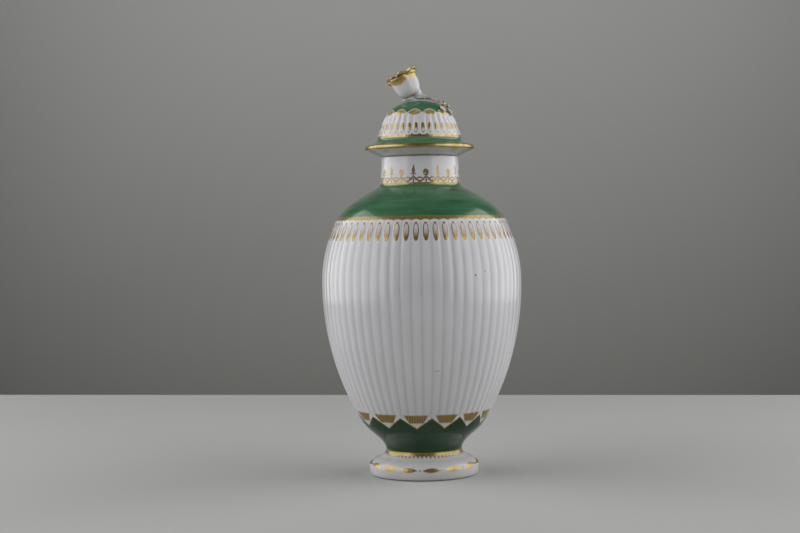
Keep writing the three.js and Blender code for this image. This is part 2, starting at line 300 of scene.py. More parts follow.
# Where a point is on a turned piece, with the small wandering of a painter's hand.
place_group, place_in, place_out = new_group(
    "place_round_the_axis",
    [("Wander", "NodeSocketFloat", 0.2)],
    [("Angle", "NodeSocketFloat"), ("Height", "NodeSocketFloat"), ("Radius", "NodeSocketFloat")],
)
place_x, place_y, place_z = own_axes(place_group)
wander = Amount(place_group, place_in.outputs["Wander"])
axis_radius = (place_x * place_x + place_y * place_y) ** 0.5 * (1 / MM)
hand_up = (noise(place_group, 420.0) - 0.5) * wander
hand_round = (noise(place_group, 370.0, stretch=(1.0, 1.0, 0.8)) - 0.5) * wander
around = place_x.of("ARCTAN2", place_x, place_y * -1.0) * (180 / math.pi)
filled(
    place_out,
    Angle=around + hand_round * (180 / math.pi) / axis_radius,
    Height=place_z * (1 / MM) + hand_up,
    Radius=axis_radius,
)

# The clear glaze over white porcelain: a little bluer where it lies thick, with faint waves and pinholes.
# Its thick tone also lays painted shade in the grooves of the ribs.
glaze_group, glaze_in, glaze_out = new_group(
    "clear_glaze",
    [
        ("Porcelain", "NodeSocketColor", (0.56, 0.553, 0.572, 1)),
        ("Thick Glaze", "NodeSocketColor", (0.44, 0.443, 0.458, 1)),
        ("Pooling", "NodeSocketFloat", 0.0),
    ],
    [("Color", "NodeSocketColor"), ("Roughness", "NodeSocketFloat"), ("Relief", "NodeSocketFloat")],
)
cloud = noise(glaze_group, 55.0, 3.0)
pits = noise(glaze_group, 2600.0, 1.0).above(0.83, 0.05)
pooling_and_shade = Amount(glaze_group, glaze_in.outputs["Pooling"])
glaze_depth_and_shade = (cloud.between(0.45, 0.9, 0.5) * 0.35 + pooling_and_shade).clamped()
tone = mixed(glaze_group, glaze_depth_and_shade, glaze_in.outputs["Porcelain"], glaze_in.outputs["Thick Glaze"])
filled(
    glaze_out,
    Color=mixed(glaze_group, pits * 0.25, tone, (0.34, 0.31, 0.27)),
    Roughness=noise(glaze_group, 130.0) * 0.06 + 0.12 + pits * 0.2,
    Relief=noise(glaze_group, 240.0, 1.0) - pits * 0.3,
)

# Burnished gilding: laid with a brush, so its thickness and colour run in fine strokes, and rubbed thin.
gilding_group, gilding_in, gilding_out = new_group(
    "burnished_gilding",
    [
        ("Gold", "NodeSocketColor", (0.43, 0.315, 0.095, 1)),
        ("Thin Gold", "NodeSocketColor", (0.27, 0.18, 0.05, 1)),
        ("Rubbing", "NodeSocketFloat", 0.5),
    ],
    [("Color", "NodeSocketColor"), ("Roughness", "NodeSocketFloat"), ("Body", "NodeSocketFloat")],
)
strokes = noise(gilding_group, 900.0, 3.0, 0.6, (1.0, 1.0, 0.35))
rubbed = noise(gilding_group, 300.0, 4.0, 0.7).above(0.6, 0.2)
rubbing = Amount(gilding_group, gilding_in.outputs["Rubbing"])
thin_strokes = strokes.between(0.5, 0.9, 0.35)
filled(
    gilding_out,
    Color=mixed(gilding_group, thin_strokes, gilding_in.outputs["Gold"], gilding_in.outputs["Thin Gold"]),
    Roughness=strokes * 0.16 + 0.22,
    Body=1.0 - rubbed * rubbing,
)

# Green enamel: a transparent fired colour, streaked along the brush and darker where it lies thick.
enamel_group, enamel_in, enamel_out = new_group(
    "green_enamel",
    [
        ("Thick", "NodeSocketColor", (0.022, 0.092, 0.038, 1)),
        ("Thin", "NodeSocketColor", (0.085, 0.2, 0.115, 1)),
        ("Streaks", "NodeSocketFloat", 0.6),
    ],
    [("Color", "NodeSocketColor")],
)
streak = noise(enamel_group, 160.0, 4.0, 0.65, (0.3, 0.3, 3.0))
patch = noise(enamel_group, 70.0, 2.0)
streaks = Amount(enamel_group, enamel_in.outputs["Streaks"])
thinness = (streak.between(0.5, 1.2, 0.45) * streaks + (patch - 0.4) * 0.6).clamped()
enamel_tone = mixed(enamel_group, thinness, enamel_in.outputs["Thick"], enamel_in.outputs["Thin"])
filled(enamel_out, Color=enamel_tone)


def placed(tree, group, **values):
    """One use of a shader group, with its own values."""
    node = tree.nodes.new("ShaderNodeGroup")
    node.node_tree = group
    return filled(node, **values)


def new_finish(name):
    """A material with its shader, and its tree."""
    material = bpy.data.materials.new(name)
    material.use_nodes = True
    return material, material.node_tree


relief_height = 0.05 * MM
relief_strength = 0.35
gilding_rise = 0.9
gilding_shine = 0.8
glaze_gloss = 0.4


def fire(tree, pooling_and_shade, paints, gold, rubbing=0.5):
    """Lays paints, each a mask and a colour, and then gilding over the glaze, and ends the finish."""
    glaze = placed(tree, glaze_group, Pooling=pooling_and_shade)
    gilt = placed(tree, gilding_group, Rubbing=rubbing)
    colour = glaze.outputs["Color"]
    for mask, paint in paints:
        colour = mixed(tree, mask, colour, paint)
    laid = (gold * Amount(tree, gilt.outputs["Body"])).clamped()
    glaze_roughness = Amount(tree, glaze.outputs["Roughness"])
    gilt_roughness = Amount(tree, gilt.outputs["Roughness"])
    relief = Amount(tree, glaze.outputs["Relief"]) + laid * gilding_rise
    bump = new_node(tree, "ShaderNodeBump", Strength=relief_strength, Distance=relief_height, Height=relief)
    filled(
        tree.nodes["Principled BSDF"],
        Base_Color=mixed(tree, laid, colour, gilt.outputs["Color"]),
        Roughness=glaze_roughness + (gilt_roughness - glaze_roughness) * laid,
        Metallic=laid * gilding_shine,
        Specular_IOR_Level=glaze_gloss,
        Normal=bump.outputs["Normal"],
    )


def painted_place(tree, wander):
    """Angle in degrees from the front, height and radius in millimetres."""
    node = placed(tree, place_group, Wander=wander)
    return tuple(Amount(tree, node.outputs[label]) for label in ("Angle", "Height", "Radius"))


def hand_spaced(angle, start, by_side, by_front):
    """The angle with a painter's uneven spacing, which runs ahead and falls behind once round the piece."""
    turn = angle * (math.pi / 180)
    return angle + start + turn.of("SINE", turn) * by_side + turn.of("COSINE", turn) * by_front


foot_outline = outline_of(
    drawn(
        (ring_radius, 0),
        (foot_radius - 0.2 * (foot_radius - ring_radius), 0.1),
        (foot_radius, 0.5 * foot_edge_height),
        (foot_radius, foot_edge_height),
        14,
    ),
    swept((foot_radius, foot_edge_height), (step_radius, step_height), (0, 0.5), (0.6, 0.8), 14),
    swept((step_radius, step_height), (waist_radius, waist_height), (0.7, 0.25), (1, 0.55), 16),
    straight((waist_radius, waist_height), (foot_bore_top, waist_height), 2),
    drawn(
        (foot_bore_top, waist_height),
        (foot_bore_top + 0.6, 0.75 * waist_height),
        (foot_bore_base - 1.6, 0.25 * waist_height),
        (foot_bore_base, 0.3),
        10,
    ),
    [(foot_bore_base + 0.3, 0)],
)
foot = turned_piece("foot", foot_outline, foot_columns)
foot.data.set_sharp_from_angle(angle=math.radians(60))

# Fourteen long husks lie end to end round the edge, with a dot or a short line in turn between them. The
# garland hangs a little at the front and at the back.
husk_pitch, husk_start, husk_height = 360 / 14, 6.43, 4.35
foot_finish, tree = new_finish("foot_porcelain")
angle, height, radius = painted_place(tree, 0.25)
arc = radius * (math.pi / 180)
garland = hand_spaced(angle, -7.2, 5.3, 5.8)
to_side = angle.of("SINE", angle * (math.pi / 180))
above_husk = height - husk_height - to_side * to_side * 0.9
husk_place = garland.across(husk_pitch, husk_start)
husk_across = husk_place * arc * husk_pitch
husk = (((husk_across / 3.8) ** 2) + above_husk.size() / 0.85).below(1.0, 0.25)
husk_vein = above_husk.size().below(0.13, 0.1) * husk_across.size().below(2.3, 0.5)
link_place = garland.across(2 * husk_pitch, -husk_start)
link_across = link_place * arc * 2 * husk_pitch
bead = ((link_across**2) + above_husk**2).below(0.12, 0.1)
thread = above_husk.size().below(0.16, 0.1) * husk_across.size().above(3.6, 0.2)
thread = thread * link_place.size().above(0.25, 0.02)
festoon_place = angle.across(360 / RIBS, 3.0)
festoon_across = festoon_place * arc * (360 / RIBS)
festoon = ((festoon_across**2) + (height - 8.85) ** 2).below(0.13, 0.12)
waist_ring = height.above(9.15, 0.15) * radius.above(12.0)
foot_line = height.below(0.45, 0.2) * radius.above(20.0)
gold = husk.most(bead * 0.3).most(thread * 0.6).most(waist_ring * 0.7)
paints = [
    # Grey patches in an uneven noise: partly uneven tone, partly painted shade that darkens the foot as a
    # whole.
    (noise(tree, 60.0, 3.0).between(0.3, 1.0, 0.3) * 0.45, (0.4, 0.39, 0.37)),
    (foot_line * 0.7, (0.16, 0.12, 0.08)),
    (height.below(0.05, 0.05), (0.5, 0.45, 0.38)),
    (waist_ring * 0.95, (0.2, 0.13, 0.035)),
    (bead * 0.85, (0.12, 0.08, 0.04)),
    (thread.most(husk) * 0.8, (0.22, 0.14, 0.05)),
    (festoon * 0.9 * radius.above(12.0), (0.13, 0.07, 0.035)),
]
fire(tree, 0.0, paints, gold * (1.0 - husk_vein * 0.45), 0.4)
foot.data.materials.append(foot_finish)
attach(foot, "vessel")
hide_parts("pedestal_foot")


# Vessel. It is thrown and pressed into a reeded mould: one skin of porcelain from the waist to the mouth,
# with convex ribs between narrow grooves. Green enamel, rubbed gilding and lace borders are fired over the
# glaze.
vessel_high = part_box("body_vessel")[1]
mouth_height = vessel_high.z / MM
crest_allowance = 0.1
belly_radius = vessel_high.x / MM + crest_allowance
belly_height = 78.5
bowl_radius, bowl_height = 25.1, 22.0
band_radius, band_height = 34.6, 103.8
neck_radius, neck_height = 16.3, 118.6
neck_fillet = 0.7
mouth_radius, mouth_edge = 15.5, 0.7
bore_radius = 13.1
vessel_wall = 3.0
floor_height = waist_height + 3.2
rib_depth = 0.22
rib_foot, rib_top = 24.0, 103.7
vessel_columns = 10 * RIBS

bowl = swept((waist_radius, waist_height), (bowl_radius, bowl_height), (0.05, 0.39), (0.72, 0.6), 18)
side = swept((bowl_radius, bowl_height), (belly_radius, belly_height), (0.18, 0.08), (1, 0.44), 34)
turn_in = swept((belly_radius, belly_height), (band_radius, band_height), (0, 0.42), (0.48, 0.73), 26)
shoulder_top = neck_height - 2 * neck_fillet
shoulder = drawn(
    (band_radius, band_height),
    (band_radius - 0.23 * (band_radius - neck_radius), band_height + 0.46 * (shoulder_top - band_height)),
    (neck_radius + 0.57 * (band_radius - neck_radius), shoulder_top - 0.37 * (shoulder_top - band_height)),
    (neck_radius + neck_fillet, shoulder_top),
    22,
)
neck = drawn(
    (neck_radius + neck_fillet, shoulder_top),
    (neck_radius + 0.3 * neck_fillet, neck_height - neck_fillet),
    (neck_radius, neck_height - 0.3 * neck_fillet),
    (neck_radius, neck_height),
    4,
)
lip = drawn(
    (mouth_radius, mouth_height - mouth_edge),
    (mouth_radius, mouth_height - 0.3 * mouth_edge),
    (mouth_radius - 0.3 * mouth_edge, mouth_height),
    (mouth_radius - mouth_edge, mouth_height),
    5,
)


def inside_of(points, wall):
    """The inner side of a wall that is as thick everywhere."""
    along = np.gradient(points, axis=0)
    along /= np.linalg.norm(along, axis=1)[:, None]
    return np.column_stack([points[:, 0] - wall * along[:, 1], points[:, 1] + wall * along[:, 0]])


chamber = inside_of(np.vstack([bowl[::3], side[3::5], turn_in[4::4], shoulder[3:-1:3]]), vessel_wall)
chamber = chamber[(chamber[:, 1] > floor_height + 1) & (chamber[:, 1] < shoulder_top - 0.5)]
chamber = [tuple(point) for point in chamber if point[0] > bore_radius]
outer_outline = outline_of(
    [(0, waist_height)],
    [(waist_radius, waist_height)],
    bowl,
    side,
    turn_in,
    shoulder,
    neck,
    straight((neck_radius, neck_height), (mouth_radius, mouth_height - mouth_edge), 8),
    lip,
)
inner_outline = outline_of(
    [(bore_radius + 0.4, mouth_height), (bore_radius, mouth_height - 0.5)],
    [(bore_radius, shoulder_top)],
    chamber[::-1],
    [(chamber[0][0] - 0.5 * vessel_wall, floor_height), (0, floor_height)],
)
vessel = turned_piece("vessel", outer_outline + inner_outline, vessel_columns, range(len(outer_outline)))


def new_tree(name, **inputs):
    """A Geometry Nodes tree with these inputs and a material, and its input and output nodes."""
    tree = bpy.data.node_groups.new(name, "GeometryNodeTree")
    kinds = {"Geometry": "Geometry", **inputs, "Material": "Material"}
    for label, kind in kinds.items():
        label = label.replace("_", " ")
        tree.interface.new_socket(label, in_out="INPUT", socket_type="NodeSocket" + kind)
    tree.interface.new_socket("Geometry", in_out="OUTPUT", socket_type="NodeSocketGeometry")
    return tree, tree.nodes.new("NodeGroupInput"), tree.nodes.new("NodeGroupOutput")


def end_tree(tree, geometry, start, finish):
    """Ends a tree by making its copies real and giving them their material."""
    real = new_node(tree, "GeometryNodeRealizeInstances", Geometry=geometry)
    dressed = new_node(tree, "GeometryNodeSetMaterial", Geometry=real.outputs["Geometry"])
    put(dressed.inputs["Material"], start.outputs["Material"])
    put(finish.inputs["Geometry"], dressed.outputs["Geometry"])


def made_by(tree, obj, **values):
    """The plain mesh that a tree makes of an object with these inputs."""
    modifier = obj.modifiers.new(tree.name, "NODES")
    modifier.node_group = tree
    for item in tree.interface.items_tree:
        label = item.name.replace(" ", "_")
        if item.in_out == "INPUT" and label in values:
            modifier[item.identifier] = values[label]
    bpy.context.view_layer.update()
    mesh = bpy.data.meshes.new_from_object(obj.evaluated_get(bpy.context.evaluated_depsgraph_get()))
    obj.modifiers.clear()
    return mesh


# The reeding: each rib is a rounded crest, and the soft grooves end in an arch above and below it. The
# mould was cut by hand, so the grooves wander a little and are not all as deep.
groove_rounding = 8.0
groove_wander, groove_unevenness = 0.16, 0.6
rib_values = ("Ribs", "Turn", "Depth", "Crest", "Foot", "Top", "Arch", "Fade")
reeding, reeding_in, reeding_out = new_tree("reeding", **dict.fromkeys(rib_values, "Float"))
wanted = {label: Amount(reeding, reeding_in.outputs[label]) for label in rib_values}
where = reeding.nodes.new("GeometryNodeInputPosition").outputs["Position"]
x, y, z = axes_of(reeding, where)
from_axis = (x * x + y * y) ** 0.5
hand = new_node(reeding, "ShaderNodeTexNoise", Vector=where, Scale=110.0, Detail=1.0)
uneven = Amount(reeding, hand.outputs["Fac"]) - 0.5
turned = (x.of("ARCTAN2", y, x) * (180 / math.pi) - wanted["Turn"]) / 360.0
rib_place = (turned * wanted["Ribs"] + uneven * groove_wander + 1e-5).fraction()
from_crest = (rib_place * 2.0 - 1.0).size()
round_share = wanted["Crest"] / (wanted["Crest"] + groove_rounding)
rounded_off = 1.0 - from_crest**groove_rounding * round_share
groove = from_crest ** wanted["Crest"] * rounded_off / (1.0 - round_share)
arch = from_crest * from_crest * wanted["Arch"]
fade_in = ((z - wanted["Foot"] - arch) / wanted["Fade"]).clamped()
fade_out = ((wanted["Top"] - arch - z) / wanted["Fade"]).clamped()
marked = reeding.nodes.new("GeometryNodeInputNamedAttribute")
marked.data_type = "FLOAT"
marked.inputs["Name"].default_value = "outer_side"
on_outside = Amount(reeding, marked.outputs["Attribute"])
dip = groove * wanted["Depth"] * (1.0 + uneven * groove_unevenness) * fade_in * fade_out * on_outside
inward = (dip / from_axis.most(1e-6)) * -1.0
move = new_node(reeding, "ShaderNodeCombineXYZ", X=x * inward, Y=y * inward)
pressed = new_node(reeding, "GeometryNodeSetPosition", Geometry=reeding_in.outputs["Geometry"])
put(pressed.inputs["Offset"], move.outputs["Vector"])
end_tree(reeding, pressed.outputs["Geometry"], reeding_in, reeding_out)


def marked_on(tree, name):
    """The numbers that mark_points kept under a name, in a finish."""
    node = tree.nodes.new("ShaderNodeAttribute")
    node.attribute_name = name
    return Amount(tree, node.outputs["Fac"])


vessel_finish, tree = new_finish("vessel_porcelain")
angle, height, radius = painted_place(tree, 0.3)
arc = radius * (math.pi / 180)
rib_pitch = 360 / RIBS
on_rib = angle.across(rib_pitch, 0.5 * rib_pitch)
rib_across = on_rib * arc * rib_pitch
outside = marked_on(tree, "outer_side")

# Lower border: green up to fifteen points, edged in gold, with a hatched gold fan over each gap.
border_pitch, border_start = 24.0, 6.0
border = hand_spaced(angle, 7.0, -4.8, -7.3)
point_place = border.across(border_pitch, border_start).size() * 2.0
green_edge = 25.7 - point_place * 4.4
lower_green = height.below(green_edge, 0.15)
edge_line = (height - green_edge).size().below(0.2, 0.14) * height.above(20.0)
fan_place = border.across(border_pitch, border_start + border_pitch / 2) * border_pitch
fan_half = (height - 23.7) * (3.8 / 3.3) + 5.5
fan_inside = (fan_half - fan_place.size()).above(0.0, 0.5)
fan_stroke = fan_place.across(1.85)
fan_top = 27.2 - fan_stroke * fan_stroke * 2.4
fan = fan_inside * height.above(23.5 + fan_stroke * fan_stroke * 1.6, 0.2) * height.below(fan_top, 0.2)
fan_gold = fan * fan_stroke.size().below(0.22, 0.16)
fan_tail = fan_stroke.size().below(0.2, 0.2) * fan_inside * height.between(22.6, 23.6, 0.3) * 0.3

# One gold loop on each rib under the band: drop-shaped, solid at its round foot, open above.
loop_foot, loop_top = 95.7, 102.5
loop_share = (height - loop_foot) / (loop_top - loop_foot)
loop_open = loop_share.clamped()
loop_half = loop_open**0.45 * (1.0 - loop_open) ** 0.35 * 2.0
loop_inside = loop_half - rib_across.size()
loop_on = loop_inside.above(0.0, 0.14) * loop_share.between(0.0, 1.0, 0.02)
loop_line = loop_on * loop_inside.below(0.34, 0.16)
loop_solid = loop_on * loop_share.below(0.3, 0.3)
loop_wash = loop_on * (loop_share.below(0.5, 0.6) * 0.75 + 0.15)
loop_dot = ((rib_across**2) * 0.5 + (height - loop_top - 0.15) ** 2).below(0.13, 0.1)

# Shoulder: a gold band with a scalloped lower edge, green to the neck, and a gold ring.
band_low = 104.1 - on_rib * on_rib * 1.8
band = height.above(band_low, 0.12) * height.below(105.3, 0.12)
shoulder_green = height.between(105.3, 118.1, 0.15)
neck_ring = height.between(117.85, 118.75, 0.15)

# Neck: a laced gold border of zigzags and arches, with a spear or a small leaf on each point.
motif_pitch, motif_start = 18.0, -9.5
motif = angle.across(motif_pitch, motif_start)
motif_across = motif * arc * motif_pitch
motif_away = motif.size() * 2.0
zigzag = (height - (121.2 - motif_away * 2.5)).size() * 0.7
post = motif_across.size().most(height - 120.2)
gap_across = (1.0 - motif_away) * (0.5 * motif_pitch) * arc
arch_line = (height - (120.75 - gap_across * gap_across * 0.3)).size().most(gap_across - 1.5)
seed = ((gap_across**2) + (height - 119.45) ** 2) ** 0.5
lace = zigzag.least(post).least(arch_line).below(0.29, 0.14).most(seed.below(0.4, 0.15))
lace = lace * height.between(118.5, 121.6, 0.2)
tall = angle.across(2 * motif_pitch, motif_start).size().below(0.25, 0.01)
spear = (motif_across.size() / 0.62 + ((height - 123.5) / 2.5).size() ** 1.6).below(1.0, 0.25)
side_leaf = ((motif_across.size() - 0.85) ** 2 + (height - 122.2) ** 2).below(0.08, 0.08)
leaf_far = (motif_across / 1.1) ** 2 + ((height - 122.8) / 1.4) ** 2
leaf_eye = ((motif_across + 0.3) ** 2 + (height - 122.4) ** 2).below(0.14, 0.1)
small_leaf = leaf_far.below(1.0, 0.35) * (1.0 - leaf_eye * 0.8)
on_points = tall * spear.most(side_leaf) + (1.0 - tall) * small_leaf
flat_gold = band.most(neck_ring)
gold = edge_line.most(fan_gold * 0.45).most(loop_line * 0.5).most(loop_solid * 0.8).most(flat_gold * 0.65)
gold = gold.most(lace * 0.5).most(on_points * 0.65) * outside

# Two iron specks and a grey fault in the glaze.
speck_places = ((31.2, 82.0, 0.42, 0.42, 0.9), (37.8, 83.5, 0.33, 0.33, 0.55), (8.9, 45.0, 1.0, 0.25, 0.4))
speck = None
for speck_angle, speck_height, speck_half, speck_rise, speck_strength in speck_places:
    speck_across = (angle - speck_angle) * arc
    speck_far = (speck_across / speck_half) ** 2 + ((height - speck_height) / speck_rise) ** 2
    one = speck_far.below(1.0, 0.8) * speck_strength
    speck = one if speck is None else speck.most(one)

enamel = placed(tree, enamel_group, Streaks=0.7)
# The lower green is the shoulder's enamel laid much darker: painted shade where the bowl turns down towards
# the table.
enamel_in_painted_shade = placed(tree, enamel_group, Thick=(0.003, 0.03, 0.008), Thin=(0.014, 0.06, 0.022), Streaks=0.5)
drawn_line = loop_line.most(loop_solid).most(lace).most(on_points)
paints = [
    (speck, (0.1, 0.075, 0.06)),
    (loop_wash, (0.28, 0.18, 0.1)),
    (drawn_line * 0.9, (0.13, 0.075, 0.03)),
    (fan_tail, (0.2, 0.17, 0.13)),
    (fan * 0.95, (0.05, 0.028, 0.004)),
    (fan_gold, (0.44, 0.28, 0.03)),
    (loop_dot * 0.9, (0.05, 0.04, 0.03)),
    (flat_gold * 0.95, (0.24, 0.16, 0.045)),
    (shoulder_green, enamel.outputs["Color"]),
    (lower_green, enamel_in_painted_shade.outputs["Color"]),
]
# The grooves are darkened: partly glaze pooled in them, partly painted shade that stands in for their depth.
groove_pool_and_shade = (on_rib.size() * 2.0) ** 3.0 * height.between(26.0, 103.0) * 0.8
fire(tree, groove_pool_and_shade, [(mask * outside, paint) for mask, paint in paints], gold, 0.35)

vessel.data = made_by(
    reeding,
    vessel,
    Ribs=float(RIBS),
    Turn=0.0,
    Depth=rib_depth * MM,
    Crest=2.0,
    Foot=rib_foot * MM,
    Top=rib_top * MM,
    Arch=1.4 * MM,
    Fade=1.4 * MM,
    Material=vessel_finish,
)
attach(vessel, "vessel")
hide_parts("body_vessel")


# Cover. A pressed dome with a thin spreading rim, ribbed on its lower half, and a loose fit on the mouth.
# Its locating flange is one with it after firing. The same green, gold and white borders run round it.
cover_low, cover_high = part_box("cover_shell")
flange_low, flange_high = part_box("cover_locating_flange")
seat_height = cover_low.z / MM
dome_top = cover_high.z / MM
seat_radius = 16.3
rim_radius, rim_thickness = 22.3, 1.7
rim_height = seat_height + 3.35
rim_top = rim_height + rim_thickness / 2
rim_edge = 0.3 * rim_thickness
dome_radius = 17.1
dome_foot = seat_height + 7.5
cover_wall = 2.6
cover_bore = 10.2
flange_radius = flange_high.x / MM
flange_foot = flange_low.z / MM
COVER_RIBS = 35
cover_columns = 14 * COVER_RIBS
cover_rib_depth = 0.33
cover_rib_foot, cover_rib_top = seat_height + 8.6, seat_height + 17.2
cover_turn = 2.8

rim = drawn(
    (rim_radius - rim_edge, rim_height - rim_thickness / 2),
    (rim_radius + 0.2 * rim_edge, rim_height - 0.4 * rim_thickness),
    (rim_radius + 0.2 * rim_edge, rim_height + 0.4 * rim_thickness),
    (rim_radius - rim_edge, rim_top),
    8,
)
flare = drawn(
    (rim_radius - rim_edge, rim_top),
    (dome_radius + 0.3 * (rim_radius - dome_radius), rim_top + 0.28 * (dome_foot - rim_top)),
    (dome_radius + 0.04 * (rim_radius - dome_radius), rim_top + 0.38 * (dome_foot - rim_top)),
    (dome_radius, dome_foot),
    14,
)
dome = swept((dome_radius, dome_foot), (0, dome_top), (0.16, 0.67), (0.35, 1), 40)
ceiling = inside_of(dome[4::4], cover_wall)
ceiling = [tuple(p) for p in ceiling if 0.5 < p[0] < cover_bore - 0.2]
cover_outer = outline_of(
    [(cover_bore, seat_height)],
    straight((seat_radius, seat_height), (rim_radius - rim_edge, rim_height - rim_thickness / 2), 6),
    rim,
    flare,
    dome,
)
cover_inner = outline_of(
    [(0, dome_top - cover_wall)],
    ceiling[::-1],
    [(cover_bore, dome_foot + 0.45 * (dome_top - dome_foot))],
    [(cover_bore, dome_foot)],
)
cover_outline = cover_inner + cover_outer
outer_rows = range(len(cover_inner), len(cover_outline))
cover = turned_piece("cover", cover_outline, cover_columns, outer_rows, cover_turn)

cover_finish, tree = new_finish("cover_porcelain")
angle, height, radius = painted_place(tree, 0.25)
arc = radius * (math.pi / 180)
cover_pitch = 360 / COVER_RIBS
on_rib = angle.across(cover_pitch, 90 + cover_turn + 0.5 * cover_pitch)
rib_across = on_rib * arc * cover_pitch
outside = marked_on(tree, "outer_side")

# Cap: green down to thirteen scallops, with a flat gold dab under each.
scallop_pitch, scallop_start = 360 / 13, -8.0
scallop = angle.across(scallop_pitch, scallop_start)
scallop_edge = 148.3 - scallop * scallop * 6.4
cap_green = height.above(scallop_edge, 0.15)
cap_line = (height - scallop_edge + 0.12).size().below(0.17, 0.12)
dab_foot = 145.75 + (scallop / 0.42) ** 2 * 1.2
dab = height.above(dab_foot, 0.2) * (scallop_edge - 0.34 - height).above(0.0, 0.15)

# One gold drop on each rib, heavy above, with a fine outline and a dot below.
drop_low, drop_high = 138.4, 142.6
drop_share = (height - drop_low) / (drop_high - drop_low)
drop_open = drop_share.clamped()
drop_half = drop_open**0.55 * (1.0 - drop_open) ** 0.4 * 1.62
drop_inside = drop_half - rib_across.size()
drop_on = drop_inside.above(0.0, 0.14) * drop_share.between(0.0, 1.0, 0.03)
drop_gold = drop_on * drop_inside.below(0.22, 0.14).most(drop_share.above(0.5, 0.3))
drop_dot = (rib_across**2 + (height - drop_low - 0.25) ** 2).below(0.06, 0.08)

# Green band between a gold line with small points and the gilt rim.
line_top = 137.7 + (on_rib.size() * 2.0) ** 3.0 * 0.7
gold_line = height.above(136.9, 0.12) * height.below(line_top, 0.12)
rim_green = height.between(134.1, 136.9, 0.12)
gilt_rim = height.between(132.35, 134.2, 0.15) * radius.above(21.0, 0.3)
gold = (dab * 0.5).most(drop_gold * 0.8).most(gold_line).most(gilt_rim) * outside
enamel = placed(tree, enamel_group, Streaks=0.7)
pale_enamel = placed(tree, enamel_group, Thick=(0.04, 0.12, 0.055), Thin=(0.12, 0.23, 0.14), Streaks=0.7)
# Painted shade: the underside of the rim is laid grey.
painted_shade_under_rim = height.below(132.5, 0.4) * radius.above(15.6, 0.4)
paints = [
    (painted_shade_under_rim * 0.55, (0.3, 0.3, 0.26)),
    (cap_green, enamel.outputs["Color"]),
    (rim_green, pale_enamel.outputs["Color"]),
    (cap_line * 0.8, (0.5, 0.47, 0.34)),
    (dab * 0.9, (0.54, 0.39, 0.15)),
    (drop_gold * 0.8, (0.19, 0.12, 0.05)),
    (drop_dot * 0.8, (0.1, 0.07, 0.04)),
]
# Pooled glaze and painted shade darken the grooves of the cover, as on the vessel.
groove_pool_and_shade = (on_rib.size() * 2.0) ** 6.0 * 0.25
fire(tree, groove_pool_and_shade, [(mask * outside, paint) for mask, paint in paints], gold, 0.35)
cover.data = made_by(
    reeding,
    cover,
    Ribs=float(COVER_RIBS),
    Turn=cover_turn,
    Depth=cover_rib_depth * MM,
    Crest=2.2,
    Foot=cover_rib_foot * MM,
    Top=cover_rib_top * MM,
    Arch=0.8 * MM,
    Fade=1.0 * MM,
    Material=cover_finish,
)
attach(cover, "cover")
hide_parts("cover_shell")

flange_edge = 0.8
flange_outline = outline_of(
    straight((flange_radius, flange_foot + flange_edge), (flange_radius, seat_height), 6),
    straight((flange_radius, seat_height), (cover_bore, seat_height), 2),
    straight((cover_bore, seat_height), (cover_bore, flange_foot + flange_edge), 6),
    drawn(
        (cover_bore, flange_foot + flange_edge),
        (cover_bore, flange_foot),
        (flange_radius, flange_foot),
        (flange_radius, flange_foot + flange_edge),
        10,
    ),
)
flange = turned_piece("flange", flange_outline, 200)
flange.data.set_sharp_from_angle(angle=math.radians(60))
flange_finish, tree = new_finish("flange_porcelain")
height = painted_place(tree, 0.2)[1]
bare = height.below(flange_foot + 1.2, 0.5)
no_gold = height * 0.0
fire(tree, 0.2, [(bare, (0.62, 0.57, 0.49))], no_gold)
flange.data.materials.append(flange_finish)
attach(flange, "cover")
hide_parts("cover_locating_flange")


# Stem of the knop. It is a rolled twig of porcelain, stuck to the dome with slip. It comes out under the
# flower, arches over the top of the cover and thins into the sprig.
sprig_gap = 0.3
flower_lean = math.radians(27)
flower_offset = -2.7
flower_lift = 2.1
stem_radius, stem_end_radius = 1.2, 0.5
slip_radius = 2.2
sprig_angle, sprig_radius = -24, 10.2


def dome_height(radius):
    return float(np.interp(radius, dome[::-1, 0], dome[::-1, 1]))


def out_of_dome(radius, degrees):
    """The way straight out of the cover at a radius and an angle seen from above."""
    a = math.radians(degrees)
    step = 0.2
    inner, outer = max(radius - step, 0), radius + step
    slope = (dome_height(outer) - dome_height(inner)) / (outer - inner)
    return Vector((-slope * math.cos(a), -slope * math.sin(a), 1)).normalized()


def on_dome(radius, degrees, above):
    a = math.radians(degrees)
    foot_point = Vector((radius * math.cos(a), radius * math.sin(a), dome_height(radius)))
    return foot_point + above * out_of_dome(radius, degrees)


def through(points, steps):
    """Evenly spaced points on a smooth line through the given ones."""
    ends = [2 * points[0] - points[1], *points, 2 * points[-1] - points[-2]]
    line = []
    parts = 20
    for a, b, c, d in zip(ends, ends[1:], ends[2:], ends[3:]):
        for k in range(parts):
            t = k / parts
            place = 2 * b + (c - a) * t
            place += (2 * a - 5 * b + 4 * c - d) * t * t
            place += (3 * b - a - 3 * c + d) * t**3
            line.append(0.5 * place)
    line.append(points[-1])
    lengths = np.cumsum([0] + [(q - p).length for p, q in zip(line, line[1:])])
    wanted_lengths = np.linspace(0, lengths[-1], steps + 1)
    axes_of_line = [np.interp(wanted_lengths, lengths, [p[i] for p in line]) for i in range(3)]
    return [Vector(p) for p in zip(*axes_of_line)]


def skinned(name, rings):
    """Joins rings of as many points each into one closed skin with rounded-off ends."""
    count = len(rings[0])
    points = [tuple(p) for ring in rings for p in ring]
    faces = []
    for k in range(len(rings) - 1):
        for i in range(count):
            a, b = k * count + i, k * count + (i + 1) % count
            faces.append((a, b, b + count, a + count))
    for ring, start, flip in ((rings[0], 0, True), (rings[-1], (len(rings) - 1) * count, False)):
        middle = sum(ring, Vector()) / count
        points.append(tuple(middle))
        for i in range(count):
            a, b = start + i, start + (i + 1) % count
            faces.append((len(points) - 1, b, a) if flip else (len(points) - 1, a, b))
    return new_piece(name, points, faces)


